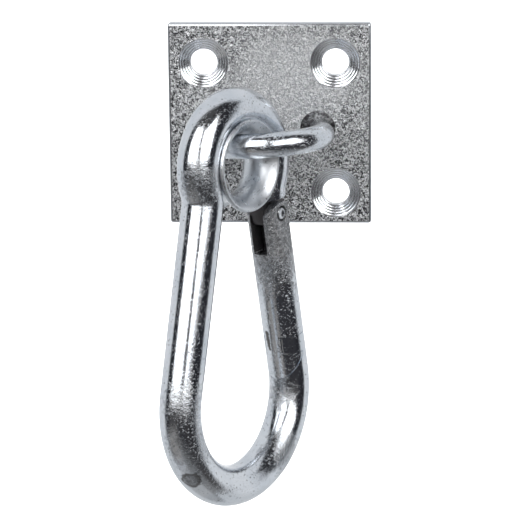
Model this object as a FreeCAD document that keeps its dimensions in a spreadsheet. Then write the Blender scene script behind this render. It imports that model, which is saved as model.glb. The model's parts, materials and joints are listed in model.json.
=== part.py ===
import FreeCAD, Part
import math
import os
import Sketcher
from FreeCAD import Placement, Rotation, Vector

# Eye plate with a captive gated hook, hanging from a round-bar staple.
# Frame: the back of the plate is Y = 0 and the wall is beyond it (+Y), +Z is up, +X is to
# the right as seen from the room. The origin is the centre of the screw hole pattern.

doc = FreeCAD.newDocument("eye_hook_with_latch")

# ---------------------------------------------------------------- driving dimensions (mm, degrees)

DIMENSIONS = [
    ("plate_side", 50.0, "side of the square plate"),
    ("plate_thick", 4.0, "plate thickness"),
    ("plate_rise", 1.07, "height of the plate's centre above the hole pattern's centre"),
    ("plate_edge_round", 0.6, "front edge round"),
    ("screw_pitch", 32.4, "screw hole spacing, both ways"),
    ("screw_hole_dia", 6.6, "clearance hole for an M6 screw"),
    ("screw_sink_dia", 12.2, "countersink diameter at the front"),
    ("screw_sink_depth", 1.7, "countersink depth, the shallow cone that a drill's point leaves"),
    ("leg_hole_dia", 8.6, "hole for a leg of the staple"),
    ("leg_hole_pitch", 23.6, "spacing of the staple's holes"),
    ("staple_bar_dia", 6.0, "staple bar diameter"),
    ("bow_radius", 13.3, "centreline radius of the staple's bow"),
    ("bow_reach", 17.7, "distance of the bow's centre from the plate's back"),
    ("bow_drop", 0.1, "distance of the bow's centre below the hole pattern's centre"),
    ("bow_roll", 4.0, "roll of the bow, right side up"),
    ("bow_pitch", 3.0, "lift of the bow, apex up"),
    ("bow_half_arc", 88.0, "half angle of the bow, from its apex to a leg"),
    ("leg_recess", 0.4, "distance of the legs' ends from the plate's back"),
    ("leg_pitch", 25.0, "spacing of the staple's legs in the plate"),
    ("leg_sag", 0.7, "distance of the legs below the centre of their holes"),
    ("weld_depth", 1.6, "depth of the plug welds from the plate's back"),
    ("bar_dia", 10.0, "hook bar diameter"),
    ("eye_radius", 13.485, "centreline radius of the hook's narrow eye"),
    ("bowl_radius", 21.173, "centreline radius of the hook's wide bowl"),
    ("bowl_drop", 56.947, "distance of the bowl's centre below the eye's centre"),
    ("limb_angle", 11.22, "angle of each straight limb from the hook's axis"),
    ("neck_round", 6.0, "centreline radius of the bend at the neck"),
    ("thimble_wall", 1.1, "thimble sheet thickness"),
    ("thimble_gap", 0.05, "running gap between thimble and hook bar"),
    ("thimble_wrap", 59.0, "half angle of bar section that the thimble wraps"),
    ("bar_contact_gap", 0.06, "gap between thimble and staple bar"),
    ("hang_angle", 33.0, "where the hook hangs on the bow, from the apex to the left"),
    ("hook_yaw", 55.4, "turn of the hook's plane about the vertical"),
    ("hook_lean", -1.94, "lean of the hook's plane"),
    ("hook_roll", 2.73, "roll of the hook in its plane"),
    ("pivot_from_neck", 6.3, "gate pivot, along the limb from the neck corner"),
    ("shoulder_from_neck", 2.3, "end of the full bar, along the limb from the neck corner"),
    ("slot_width", 4.0, "fork slot in the gate"),
    ("tongue_thick", 3.84, "tongue of the hook body in the fork"),
    ("tongue_reach", 3.0, "tongue end, from the pivot"),
    ("tongue_inset", 0.8, "distance of the tongue's sides inside the bar's surface"),
    ("tongue_side_end", 2.2, "lower end of the tongue's outer side, above the pivot"),
    ("tongue_shoulder_end", 0.9, "lower end of the tongue's inner side, below the pivot"),
    ("gate_open_angle", 44.0, "gate angle to which the cam is drawn"),
    ("cam_radius", 1.5, "base radius of the tongue's involute cam"),
    ("rivet_dia", 3.8, "gate pivot rivet"),
    ("pivot_gap", 0.05, "radial running gap of the tongue on the rivet"),
    ("slot_depth", 9.4, "fork slot's floor, from the pivot"),
    ("slot_web", 1.3, "wall left on the slot's outer side"),
    ("slot_shelf", 0.4, "upper end of that wall, below the pivot"),
    ("gate_nose_round", 5.0, "round of the gate's upper end"),
    ("gate_nose_drop", 2.2, "centre of that round, below the pivot"),
    ("cheek_half_width", 4.4, "half width of the gate over its cheek flats"),
    ("cheek_flat_reach", 7.0, "lower end of the cheek flats, from the pivot"),
    ("lug_top", 31.2, "claw lug's upper face, radius about the pivot"),
    ("lug_bottom", 35.5, "claw lug's lower face, radius about the pivot"),
    ("lug_reach", 4.25, "claw lug's tip, from the limb's axis towards the inside"),
    ("claw_root", -0.4, "claw notch's root, same direction"),
    ("claw_step", 0.8, "straight part of the notch's root"),
    ("claw_slope", 45.0, "slope of the gate's slanted end"),
    ("claw_gap", 0.15, "gap all round the claw when shut"),
    ("gate_bore_dia", 4.0, "spring bore in the gate"),
    ("gate_bore_depth", 26.0, "floor of the bore, from the pivot"),
    ("plunger_dia", 3.9, "plunger diameter"),
    ("plunger_length", 10.0, "plunger length"),
    ("plunger_cup_dia", 3.0, "spring cup in the plunger"),
    ("plunger_cup_depth", 4.0, "depth of that cup"),
    ("plunger_edge", 0.3, "bevel of the plunger's head"),
    ("plunger_gap", 0.02, "gap between plunger and tongue"),
    ("spring_wire_dia", 0.5, "spring wire"),
    ("spring_mean_dia", 2.3, "spring mean diameter"),
    ("spring_turns", 11.0, "spring turns"),
    ("spring_gap", 0.05, "gap at each end of the spring"),
]

sheet = doc.addObject("Spreadsheet::Sheet", "dimensions")
for row, (alias, value, note) in enumerate(DIMENSIONS, start=1):
    sheet.set("A%d" % row, note)
    sheet.set("B%d" % row, repr(value))
    sheet.setAlias("B%d" % row, alias)
doc.recompute()


def dim(alias):
    """Value of one cell, in mm or degrees."""
    return float(sheet.get(alias))


def bind(obj, prop, formula):
    """Drive a property by the sheet: $name in the formula is the cell of that alias."""
    obj.setExpression(prop, formula.replace("$", "dimensions."))


# Working allowances (mm): how far a cutting outline passes the surface, and the smallest volume
# and distance that count.
OVERCUT = 1.0
LEAST_CUT = 0.01
NEAR = 1e-6
FULL_TURN = 360.0

# ---------------------------------------------------------------- helpers

def origin_plane(body, role):
    for feature in body.Origin.OriginFeatures:
        if feature.Role == role:
            return feature
    raise ValueError(role)


def new_body(label):
    body = doc.addObject("PartDesign::Body", label)
    body.Label = label
    return body


def new_sketch(body, role, name):
    sketch = body.newObject("Sketcher::SketchObject", name)
    sketch.AttachmentSupport = [(origin_plane(body, role), "")]
    sketch.MapMode = "FlatFace"
    return sketch


def bind_datum(sketch, constraint, formula):
    """Add a dimensional constraint and drive it by the sheet."""
    index = sketch.addConstraint(constraint)
    bind(sketch, "Constraints[%d]" % index, formula)


def add_line(sketch, start, end):
    sketch.addGeometry(Part.LineSegment(Vector(*start, 0), Vector(*end, 0)))


def add_arc(sketch, centre, start, end, sense):
    """Arc from start to end round a centre: sense +1 is anticlockwise, -1 clockwise."""
    first, last = (start, end) if sense > 0 else (end, start)
    a0 = math.atan2(first[1] - centre[1], first[0] - centre[0])
    a1 = math.atan2(last[1] - centre[1], last[0] - centre[0])
    if a1 < a0:
        a1 += 2 * math.pi
    circle = Part.Circle(Vector(*centre, 0), Vector(0, 0, 1), math.dist(centre, start))
    sketch.addGeometry(Part.ArcOfCircle(circle, a0, a1))


def add_loop(sketch, points, curves={}):
    """Closed outline through points (x, y); curves[i] is the centre and sense of the arc that
    starts at point i, where the run isn't straight."""
    for i, (start, end) in enumerate(zip(points, points[1:] + points[:1])):
        if i in curves:
            centre, sense = curves[i]
            add_arc(sketch, centre, start, end, sense)
        else:
            add_line(sketch, start, end)


def add_pad(body, sketch, name, length, midplane=False):
    pad = body.newObject("PartDesign::Pad", name)
    pad.Profile = sketch
    pad.Midplane = midplane
    bind(pad, "Length", length)
    doc.recompute()
    return pad


def add_cut(body, sketch, name, length, midplane=True):
    """Pocket that must take material away."""
    before = body.Shape.Volume
    pocket = body.newObject("PartDesign::Pocket", name)
    pocket.Profile = sketch
    pocket.Midplane = midplane
    bind(pocket, "Length", length)
    doc.recompute()
    if body.Shape.Volume > before - LEAST_CUT:
        raise RuntimeError("nothing cut by " + name)
    return pocket


def add_turned(body, sketch, name):
    """Solid of revolution about the sketch's vertical axis."""
    turned = body.newObject("PartDesign::Revolution", name)
    turned.Profile = sketch
    turned.ReferenceAxis = (sketch, ["V_Axis"])
    turned.Angle = FULL_TURN
    doc.recompute()
    return turned


def add_hole_sketch(body, role, name, centre, dia, formula):
    """Sketch of one circle whose diameter is driven by the sheet."""
    sketch = new_sketch(body, role, name)
    sketch.addGeometry(Part.Circle(centre, Vector(0, 0, 1), dia / 2))
    bind_datum(sketch, Sketcher.Constraint("Diameter", 0, dia), formula)
    return sketch


# ---------------------------------------------------------------- places worked out from the sheet

limb = math.radians(dim("limb_angle"))
limb_down = Vector(math.sin(limb), 0, -math.cos(limb))
limb_out = Vector(math.cos(limb), 0, math.sin(limb))
# The bowl's tangent point, and the limb's axis through it, in the hook's own XZ plane.
bowl_centre = Vector(0, 0, -dim("bowl_drop"))
tangent_point = bowl_centre + limb_out * dim("bowl_radius")
# The neck corner, where the limb's axis meets the eye's centreline below the eye's middle.
offset = tangent_point.dot(limb_out)
neck_corner = limb_out * offset + limb_down * math.sqrt(dim("eye_radius") ** 2 - offset ** 2)
pivot = neck_corner + limb_down * dim("pivot_from_neck")
half_bar = dim("bar_dia") / 2
throat = dim("eye_radius") - half_bar - dim("thimble_gap") - dim("thimble_wall")

bow_turn = (Rotation(Vector(0, 1, 0), -dim("bow_roll"))
            * Rotation(Vector(1, 0, 0), -dim("bow_pitch")))
bow_centre = Vector(0, -dim("bow_reach"), -dim("bow_drop"))


def on_bow(angle):
    """Point of the bow's centreline, angle from the apex, positive to the left."""
    a = math.radians(angle)
    return bow_centre + bow_turn.multVec(Vector(-math.sin(a), -math.cos(a), 0) * dim("bow_radius"))


# The hook and thimble share one frame: X across the hook in its plane, Z up along it, Y through
# it, origin at the eye's centre. The gate's frame has its origin at the pivot and Z up the limb.
hang_turn = (Rotation(Vector(0, 0, 1), dim("hook_yaw"))
             * Rotation(Vector(1, 0, 0), dim("hook_lean"))
             * Rotation(Vector(0, 1, 0), dim("hook_roll")))
bar_to_eye = throat - dim("staple_bar_dia") / 2 - dim("bar_contact_gap")
eye_centre = on_bow(dim("hang_angle")) - hang_turn.multVec(Vector(0, 0, bar_to_eye))
hang = Placement(eye_centre, hang_turn)
latch = hang * Placement(pivot, Rotation(Vector(0, 1, 0), -dim("limb_angle")))


def limb_point(inward, down):
    """Hook-plane point (x, z) from distances off the pivot, inward and down the gate's limb."""
    point = pivot - limb_out * inward + limb_down * down
    return (point.x, point.z)


def gate_point(inward, down):
    """The same point in the gate's own frame."""
    return (-inward, -down)


def on_radius(radius, inward):
    """Distance down the limb of a point on a circle about the pivot."""
    return math.sqrt(radius ** 2 - inward ** 2)


def claw_outline(place, gap, outer, inner, beyond):
    """Space on the far side of the claw's joint line, as seen from the gate (gap > 0) or from
    the nose (gap = 0). beyond is how far down the limb the space is closed."""
    angle = math.radians(dim("claw_slope"))
    slope = math.tan(angle)
    top = dim("lug_top") - gap
    bottom = dim("lug_bottom") + gap
    tip = dim("lug_reach") + gap
    root = dim("claw_root") + gap
    step_end = dim("lug_bottom") + dim("claw_gap") + dim("claw_step")
    slant = step_end + (dim("claw_gap") - gap) * (1 / math.cos(angle) - slope)
    marks = [
        (outer, on_radius(top, outer)),
        (tip, on_radius(top, tip)),
        (tip, on_radius(bottom, tip)),
        (root, on_radius(bottom, root)),
        (root, slant),
        (inner, slant + (inner - root) * slope),
        (inner, beyond),
        (outer, beyond),
    ]
    centre = place(0, 0)
    return [place(*mark) for mark in marks], {0: (centre, -1), 2: (centre, 1)}


# ---------------------------------------------------------------- mounting plate

def make_plate():
    body = new_body("mounting_plate")
    half = dim("plate_side") / 2
    rise = dim("plate_rise")
    face = new_sketch(body, "XZ_Plane", "plate_outline")
    corners = [(-half, rise - half), (half, rise - half), (half, rise + half), (-half, rise + half)]
    add_loop(face, corners)
    for i in range(4):
        face.addConstraint(Sketcher.Constraint("Coincident", i, 2, (i + 1) % 4, 1))
    face.addConstraint(Sketcher.Constraint("Horizontal", 0))
    face.addConstraint(Sketcher.Constraint("Horizontal", 2))
    face.addConstraint(Sketcher.Constraint("Vertical", 1))
    face.addConstraint(Sketcher.Constraint("Vertical", 3))
    bind_datum(face, Sketcher.Constraint("DistanceX", 0, 1, 0, 2, 2 * half), "$plate_side")
    bind_datum(face, Sketcher.Constraint("DistanceY", 1, 1, 1, 2, 2 * half), "$plate_side")
    bind_datum(face, Sketcher.Constraint("DistanceX", 0, 1, -1, 1, half), "$plate_side / 2")
    bind_datum(face, Sketcher.Constraint("DistanceY", -1, 1, 1, 2, half + rise),
               "$plate_side / 2 + $plate_rise")
    slab = add_pad(body, face, "plate_slab", "$plate_thick")

    front = ["Edge%d" % number for number, edge in enumerate(slab.Shape.Edges, start=1)
             if abs(edge.CenterOfMass.y + dim("plate_thick")) < NEAR]
    rounding = body.newObject("PartDesign::Fillet", "front_edge_round")
    rounding.Base = (slab, front)
    bind(rounding, "Radius", "$plate_edge_round")
    doc.recompute()

    holes = new_sketch(body, "XZ_Plane", "plate_holes")
    spots = [(sx, sz, "screw_pitch", "screw_hole_dia") for sx in (-1, 1) for sz in (-1, 1)]
    spots += [(sx, 0, "leg_hole_pitch", "leg_hole_dia") for sx in (-1, 1)]
    for index, (sx, sz, pitch, dia) in enumerate(spots):
        centre = Vector(sx, sz, 0) * (dim(pitch) / 2)
        holes.addGeometry(Part.Circle(centre, Vector(0, 0, 1), dim(dia) / 2))
        bind_datum(holes, Sketcher.Constraint("Diameter", index, dim(dia)), "$" + dia)
        ends = (-1, 1, index, 3) if sx > 0 else (index, 3, -1, 1)
        bind_datum(holes, Sketcher.Constraint("DistanceX", *ends, abs(centre.x)), "$%s / 2" % pitch)
        if sz:
            ends = (-1, 1, index, 3) if sz > 0 else (index, 3, -1, 1)
            bind_datum(holes, Sketcher.Constraint("DistanceY", *ends, abs(centre.y)), "$%s / 2" % pitch)
        else:
            holes.addConstraint(Sketcher.Constraint("PointOnObject", index, 3, -1))
    drilled = add_cut(body, holes, "holes_through", "4 * $plate_thick")

    rims = []
    for number, edge in enumerate(drilled.Shape.Edges, start=1):
        if edge.Curve.TypeId != "Part::GeomCircle":
            continue
        at_front = abs(edge.CenterOfMass.y + dim("plate_thick")) < NEAR
        if at_front and abs(edge.Curve.Radius - dim("screw_hole_dia") / 2) < NEAR:
            rims.append("Edge%d" % number)
    sinks = body.newObject("PartDesign::Chamfer", "countersinks")
    sinks.Base = (drilled, rims)
    sinks.ChamferType = "Two distances"
    bind(sinks, "Size", "($screw_sink_dia - $screw_hole_dia) / 2")
    bind(sinks, "Size2", "$screw_sink_depth")
    return body


# ---------------------------------------------------------------- staple and its welds

SMALL_TURN = 0.01
LEG_START_PULL = 12.0
LEG_END_PULL = 4.0


def leg_end(side, y):
    return Vector(side * dim("leg_pitch") / 2, y, -dim("leg_sag"))


def make_staple():
    """U of round bar: a tilted half-circle bow, and two legs that bend gently into the plate."""
    span = dim("bow_half_arc")
    arc = Part.Arc(on_bow(span), on_bow(0), on_bow(-span)).toShape()
    edges = []
    for side in (-1, 1):
        angle = -side * span
        towards_plate = on_bow(angle - side * SMALL_TURN) - on_bow(angle)
        leg = Part.BSplineCurve()
        leg.interpolate(
            Points=[on_bow(angle), leg_end(side, -dim("plate_thick")),
                    leg_end(side, -dim("leg_recess"))],
            InitialTangent=towards_plate.normalize() * LEG_START_PULL,
            FinalTangent=Vector(0, 1, 0) * LEG_END_PULL,
        )
        edges.append(leg.toShape())
    path = Part.Wire(Part.__sortEdges__([edges[0], arc, edges[1]]))
    start = path.OrderedVertexes[0].Point
    ring = Part.Circle(start, Vector(0, 1, 0), dim("staple_bar_dia") / 2).toShape()
    solid = path.makePipeShell([Part.Wire([ring])], True, False)
    staple = doc.addObject("Part::Feature", "staple")
    staple.Shape = solid
    staple.Label = "staple"
    return staple


def make_welds(staple):
    plugs = []
    for side, name in ((-1, "left"), (1, "right")):
        plug = doc.addObject("Part::Cylinder", "weld_plug_" + name)
        bind(plug, "Radius", "$leg_hole_dia / 2")
        bind(plug, "Height", "$weld_depth")
        plug.Placement = Placement(Vector(side * dim("leg_hole_pitch") / 2, 0, 0),
                                   Rotation(Vector(1, 0, 0), 90))
        plugs.append(plug)
    pair = doc.addObject("Part::MultiFuse", "weld_plugs")
    pair.Shapes = plugs
    welds = doc.addObject("Part::Cut", "staple_welds")
    welds.Base = pair
    welds.Tool = staple
    welds.Label = "staple_welds"
    return welds


# ---------------------------------------------------------------- hook body

def bar_section(body):
    """Bar section at the top of the eye, square to the centreline there."""
    section = new_sketch(body, "YZ_Plane", "bar_section")
    section.addGeometry(Part.Circle(Vector(0, dim("eye_radius"), 0), Vector(0, 0, 1), half_bar))
    bind_datum(section, Sketcher.Constraint("Diameter", 0, 2 * half_bar), "$bar_dia")
    section.addConstraint(Sketcher.Constraint("PointOnObject", 0, 3, -2))
    bind_datum(section, Sketcher.Constraint("DistanceY", -1, 1, 0, 3, dim("eye_radius")), "$eye_radius")
    return section


def neck_bend():
    """Centre of the neck's bend on the gate's side, and its ends on the eye and on the limb."""
    reach = dim("eye_radius") + dim("neck_round")
    off = neck_corner.dot(limb_out) + dim("neck_round")
    centre = limb_out * off + limb_down * math.sqrt(reach ** 2 - off ** 2)
    return centre, centre * (dim("eye_radius") / reach), centre - limb_out * dim("neck_round")


def centreline(body, name, side, limb_end):
    """Spine from the top of the eye, round one side, over the neck and along that limb; on the
    far side (-1) it goes on round the bowl and up to limb_end, on the gate's side (+1) it ends
    there."""
    centre, on_eye, on_limb = neck_bend()
    sketch = new_sketch(body, "XZ_Plane", name)

    def spot(vector, mirror=side):
        return (mirror * vector.x, vector.z)

    top = (0.0, dim("eye_radius"))
    add_arc(sketch, (0.0, 0.0), top, spot(on_eye), -side)
    add_arc(sketch, spot(centre), spot(on_eye), spot(on_limb), side)
    eye_far, bend_near = (2, 2) if side < 0 else (1, 1)
    bend_far = 3 - bend_near
    sketch.addConstraint(Sketcher.Constraint("Coincident", 0, 3, -1, 1))
    sketch.addConstraint(Sketcher.Constraint("PointOnObject", 0, 3 - eye_far, -2))
    sketch.addConstraint(Sketcher.Constraint("Coincident", 0, eye_far, 1, bend_near))
    bind_datum(sketch, Sketcher.Constraint("Radius", 0, dim("eye_radius")), "$eye_radius")
    bind_datum(sketch, Sketcher.Constraint("Radius", 1, dim("neck_round")), "$neck_round")
    if side > 0:
        add_line(sketch, spot(on_limb), limb_end)
    else:
        add_line(sketch, spot(on_limb), spot(tangent_point))
        add_arc(sketch, (0.0, bowl_centre.z), spot(tangent_point), spot(tangent_point, 1), 1)
        add_line(sketch, spot(tangent_point, 1), limb_end)
        sketch.addConstraint(Sketcher.Constraint("Coincident", 2, 2, 3, 1))
        sketch.addConstraint(Sketcher.Constraint("Coincident", 3, 2, 4, 1))
        bind_datum(sketch, Sketcher.Constraint("Radius", 3, dim("bowl_radius")), "$bowl_radius")
        sketch.addConstraint(Sketcher.Constraint("PointOnObject", 3, 3, -2))
        bind_datum(sketch, Sketcher.Constraint("DistanceY", 3, 3, -1, 1, dim("bowl_drop")),
                   "$bowl_drop")
    sketch.addConstraint(Sketcher.Constraint("Coincident", 1, bend_far, 2, 1))
    return sketch


def add_bar_run(body, section, spine, name):
    run = body.newObject("PartDesign::AdditivePipe", name)
    run.Profile = section
    run.Spine = (spine, ["Edge%d" % (i + 1) for i in range(len(spine.Shape.Edges))])
    run.Transition = "Transformed"
    doc.recompute()
    return run


# Corner of the tongue's outer side and the outer end of its flat tip, as (inward, down) from the
# pivot, and the number of straight steps that the cam is drawn with.
TONGUE_CORNER = (-3.3, 0.3)
TONGUE_END_INWARD = -2.0
CAM_STEPS = 6


def tongue_outline():
    """Tongue on the limb's axis: straight sides from the shoulder, a flat end and, on the
    inside, an involute that pushes a flat plunger evenly as the gate turns."""
    reach = dim("tongue_reach")
    base = dim("cam_radius")
    half = half_bar - dim("tongue_inset")
    hidden = dim("pivot_from_neck") - dim("shoulder_from_neck") + OVERCUT
    outline = [(-half, -hidden), (-half, -dim("tongue_side_end"))]
    outline += [TONGUE_CORNER, (TONGUE_END_INWARD, reach)]
    for i in range(CAM_STEPS + 1):
        turn = math.radians(dim("gate_open_angle")) * i / CAM_STEPS
        push = reach + base * turn
        outline.append((base * math.cos(turn) + push * math.sin(turn),
                        push * math.cos(turn) - base * math.sin(turn)))
    outline += [(half, dim("tongue_shoulder_end")), (half, -hidden)]
    return [limb_point(*mark) for mark in outline]


# How far the bar stops short of the claw's upper face, and how far above that face the claw's
# cutting outline starts (mm).
NOSE_SHORT = 0.1
CLAW_OVERLAP = 3.0


def make_hook_body():
    body = new_body("hook_body")
    body.Placement = hang
    nose_end = limb_point(0, on_radius(dim("lug_top"), half_bar) - NOSE_SHORT)
    shoulder = limb_point(0, dim("shoulder_from_neck") - dim("pivot_from_neck"))
    section = bar_section(body)
    long_spine = centreline(body, "bar_spine_long", -1, nose_end)
    short_spine = centreline(body, "bar_spine_short", 1, shoulder)
    doc.recompute()
    add_bar_run(body, section, long_spine, "bar_long_run")
    add_bar_run(body, section, short_spine, "bar_short_run")

    tongue = new_sketch(body, "XZ_Plane", "tongue_outline")
    add_loop(tongue, tongue_outline())
    add_pad(body, tongue, "tongue", "$tongue_thick", midplane=True)
    bore = add_hole_sketch(body, "XZ_Plane", "tongue_bore", Vector(pivot.x, pivot.z, 0),
                           dim("rivet_dia"), "$rivet_dia + 2 * $pivot_gap")
    add_cut(body, bore, "tongue_bore_cut", "2 * $tongue_thick")

    claw = new_sketch(body, "XZ_Plane", "claw_outline")
    past = half_bar + OVERCUT
    points, curves = claw_outline(limb_point, 0.0, -past, past, dim("lug_top") - CLAW_OVERLAP)
    add_loop(claw, points, curves)
    add_cut(body, claw, "claw_notch", "2 * $bar_dia")
    return body


# ---------------------------------------------------------------- thimble

def make_thimble():
    body = new_body("thimble")
    body.Placement = hang
    sketch = new_sketch(body, "XY_Plane", "thimble_section")
    inner = half_bar + dim("thimble_gap")
    outer = inner + dim("thimble_wall")
    wrap = math.radians(dim("thimble_wrap"))
    middle = (dim("eye_radius"), 0.0)

    def rim(radius, side):
        return (middle[0] - radius * math.cos(wrap), side * radius * math.sin(wrap))

    points = [rim(outer, 1), rim(outer, -1), rim(inner, -1), rim(inner, 1)]
    add_loop(sketch, points, {0: (middle, 1), 2: (middle, -1)})
    bind_datum(sketch, Sketcher.Constraint("Radius", 0, outer),
               "$bar_dia / 2 + $thimble_gap + $thimble_wall")
    bind_datum(sketch, Sketcher.Constraint("Radius", 2, inner), "$bar_dia / 2 + $thimble_gap")
    add_turned(body, sketch, "thimble_ring")
    return body


# ---------------------------------------------------------------- gate, rivet, plunger, spring

# Length of bar left below the claw lug before the slanted end is cut (mm).
GATE_TAIL = 10.0


def make_gate():
    body = new_body("gate")
    body.Placement = latch
    top = dim("gate_nose_round") - dim("gate_nose_drop")
    low = dim("lug_bottom") + GATE_TAIL
    profile = new_sketch(body, "XZ_Plane", "gate_profile")
    add_loop(profile, [(0, -low), (half_bar, -low), (half_bar, top), (0, top)])
    profile.addConstraint(Sketcher.Constraint("Vertical", 1))
    profile.addConstraint(Sketcher.Constraint("PointOnObject", 0, 1, -2))
    bind_datum(profile, Sketcher.Constraint("DistanceX", 0, 1, 0, 2, half_bar), "$bar_dia / 2")
    add_turned(body, profile, "gate_bar")

    nose = new_sketch(body, "XZ_Plane", "gate_nose")
    reach = dim("gate_nose_round")
    drop = dim("gate_nose_drop")
    wide = reach + OVERCUT
    add_loop(nose, [(-reach, -drop), (reach, -drop), (wide, -drop), (wide, wide),
                    (-wide, wide), (-wide, -drop)], {0: ((0.0, -drop), -1)})
    add_cut(body, nose, "gate_nose_cut", "2 * $bar_dia")

    slot = new_sketch(body, "XZ_Plane", "fork_slot")
    web = half_bar - dim("slot_web")
    shelf = dim("slot_shelf")
    floor = dim("slot_depth")
    add_loop(slot, [(-wide, -floor), (web, -floor), (web, -shelf), (wide, -shelf),
                    (wide, wide), (-wide, wide)])
    add_cut(body, slot, "fork_slot_cut", "$slot_width")

    flats = new_sketch(body, "YZ_Plane", "cheek_flats")
    flat = dim("cheek_half_width")
    end = dim("cheek_flat_reach")
    for side in (-1, 1):
        near, far = sorted((side * flat, side * wide))
        add_loop(flats, [(near, -end), (far, -end), (far, wide), (near, wide)])
    add_cut(body, flats, "cheek_flats_cut", "2 * $bar_dia")

    claw = new_sketch(body, "XZ_Plane", "gate_claw")
    past = half_bar + OVERCUT
    points, curves = claw_outline(gate_point, dim("claw_gap"), -past, past, low + OVERCUT)
    add_loop(claw, points, curves)
    add_cut(body, claw, "gate_claw_cut", "2 * $bar_dia")

    hole = add_hole_sketch(body, "XZ_Plane", "rivet_hole", Vector(), dim("rivet_dia"),
                           "$rivet_dia")
    add_cut(body, hole, "rivet_hole_cut", "2 * $bar_dia")
    bore = add_hole_sketch(body, "XY_Plane", "spring_bore", Vector(), dim("gate_bore_dia"),
                           "$gate_bore_dia")
    add_cut(body, bore, "spring_bore_cut", "$gate_bore_depth", midplane=False)
    return body


def make_rivet():
    rivet = doc.addObject("Part::Cylinder", "gate_pivot_rivet")
    rivet.Label = "gate_pivot_rivet"
    bind(rivet, "Radius", "$rivet_dia / 2")
    bind(rivet, "Height", "2 * $cheek_half_width")
    rivet.Placement = latch * Placement(Vector(0, dim("cheek_half_width"), 0),
                                        Rotation(Vector(1, 0, 0), 90))
    return rivet


def make_plunger():
    body = new_body("gate_plunger")
    body.Placement = latch
    radius = dim("plunger_dia") / 2
    cup = dim("plunger_cup_dia") / 2
    top = -dim("tongue_reach") - dim("plunger_gap")
    low = top - dim("plunger_length")
    floor = low + dim("plunger_cup_depth")
    edge = dim("plunger_edge")
    sketch = new_sketch(body, "XZ_Plane", "plunger_profile")
    add_loop(sketch, [(0, top), (0, floor), (cup, floor), (cup, low), (radius, low),
                      (radius, top - edge), (radius - edge, top)])
    bind_datum(sketch, Sketcher.Constraint("DistanceX", 1, 1, 1, 2, cup), "$plunger_cup_dia / 2")
    add_turned(body, sketch, "plunger_turned")
    return body


def make_spring():
    clear = dim("spring_gap") + dim("spring_wire_dia") / 2
    cup_floor = (dim("tongue_reach") + dim("plunger_gap") + dim("plunger_length")
                 - dim("plunger_cup_depth"))
    top = cup_floor + clear
    low = dim("gate_bore_depth") - clear
    place = latch * Placement(Vector(0, 0, -low), Rotation())
    helix = doc.addObject("Part::Helix", "spring_helix")
    bind(helix, "Radius", "$spring_mean_dia / 2")
    helix.Height = low - top
    helix.Pitch = (low - top) / dim("spring_turns")
    doc.recompute()
    edge = helix.Shape.Edges[0]
    start = edge.valueAt(edge.FirstParameter)
    ring = Part.Circle(start, edge.tangentAt(edge.FirstParameter), dim("spring_wire_dia") / 2)
    coil = Part.Wire(helix.Shape.Edges).makePipeShell([Part.Wire([ring.toShape()])], True, True)
    spring = doc.addObject("Part::Feature", "gate_spring")
    spring.Shape = coil
    spring.Placement = place
    spring.Label = "gate_spring"
    return spring


# ---------------------------------------------------------------- build, check and write

staple_piece = make_staple()
pieces = [
    make_plate(),
    staple_piece,
    make_welds(staple_piece),
    make_hook_body(),
    make_thimble(),
    make_gate(),
    make_rivet(),
    make_plunger(),
    make_spring(),
]
doc.recompute()

for obj in doc.Objects:
    if "Invalid" in obj.State or "Error" in obj.State:
        raise RuntimeError("%s failed: %s" % (obj.Name, obj.State))

os.makedirs("parts", exist_ok=True)
for piece in pieces:
    shape = piece.Shape
    if shape.isNull() or not shape.isValid() or shape.Volume <= 0:
        raise RuntimeError("bad shape: " + piece.Label)
    box = shape.BoundBox
    print("%-18s solids %d  volume %9.1f  x %7.2f %7.2f  y %7.2f %7.2f  z %7.2f %7.2f" % (
        piece.Label, len(shape.Solids), shape.Volume, box.XMin, box.XMax, box.YMin, box.YMax,
        box.ZMin, box.ZMax))
    shape.exportStep("parts/%s.step" % piece.Label)
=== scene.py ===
import json
import math

import bmesh
import bpy
import numpy as np
from mathutils import Matrix, Vector


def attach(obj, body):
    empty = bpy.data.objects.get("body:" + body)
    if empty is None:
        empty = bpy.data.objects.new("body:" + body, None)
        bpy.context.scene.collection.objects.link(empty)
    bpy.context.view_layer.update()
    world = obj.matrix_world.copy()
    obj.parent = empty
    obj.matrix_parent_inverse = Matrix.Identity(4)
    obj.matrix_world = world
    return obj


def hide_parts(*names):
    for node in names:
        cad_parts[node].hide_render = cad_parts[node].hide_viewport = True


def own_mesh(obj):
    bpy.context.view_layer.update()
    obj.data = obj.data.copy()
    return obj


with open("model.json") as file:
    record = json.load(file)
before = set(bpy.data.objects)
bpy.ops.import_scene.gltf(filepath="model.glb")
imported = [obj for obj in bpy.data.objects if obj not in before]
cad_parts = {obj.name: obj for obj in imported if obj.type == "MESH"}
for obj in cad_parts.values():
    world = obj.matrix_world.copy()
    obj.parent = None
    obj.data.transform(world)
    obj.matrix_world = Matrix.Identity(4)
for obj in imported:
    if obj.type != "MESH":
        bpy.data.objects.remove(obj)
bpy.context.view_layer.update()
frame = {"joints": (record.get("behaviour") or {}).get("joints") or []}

# Lengths are in millimetres until a mesh is finished, and then MM turns them into metres.
MM = 0.001
TO_MM = 1000.0

# ---------------------------------------------------------------- sizes of the object

PLATE_SIDE = 50.0
PLATE_THICK = 4.0
PLATE_RISE = 1.07
SCREW_PITCH = 32.4
SCREW_HOLE = 6.6
SCREW_SINK = 12.2
SINK_DEPTH = 1.7
LEG_HOLE = 8.6
LEG_HOLE_PITCH = 23.6
STAPLE_BAR = 6.0
BOW_RADIUS = 13.3
LEG_PITCH = 25.0
LEG_SAG = 0.7
WELD_DEPTH = 1.6
LEG_RECESS = 0.45

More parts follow.
